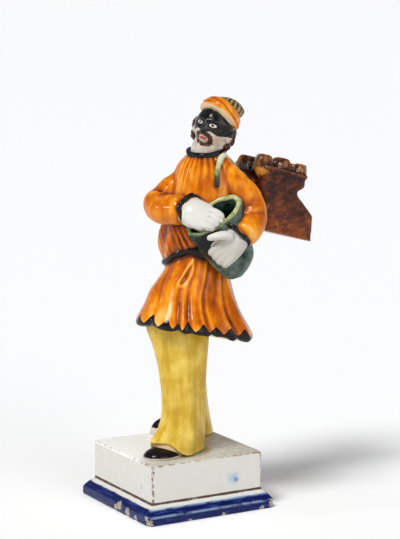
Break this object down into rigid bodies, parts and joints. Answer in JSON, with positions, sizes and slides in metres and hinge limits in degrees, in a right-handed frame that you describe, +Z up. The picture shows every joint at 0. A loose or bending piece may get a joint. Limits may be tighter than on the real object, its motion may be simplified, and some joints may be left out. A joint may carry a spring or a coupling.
{
  "type": "commedia dell'arte figure",
  "caption": "Tin-glazed earthenware stage servant in mask, orange tunic and yellow trousers, reaching into a green sack, with a brown pannier, on a white plinth.",
  "frame": {"origin": "centre of the plinth's flat underside", "axes": "+Z up, the figure's feet point along -Y and his left side is +X"},
  "size_m": [0.0959, 0.1372, 0.2601],
  "materials": {
    "figure_glaze": "glossy glaze, painted in orange, yellow, green, brown, black and white",
    "plinth_glaze": "glossy white tin glaze with a cobalt blue moulding and brown lines, chipped at the edges"
  },
  "bodies": {
    "root": {"plinth": "plinth_glaze", "figure": "figure_glaze"}
  },
  "joints": []
}
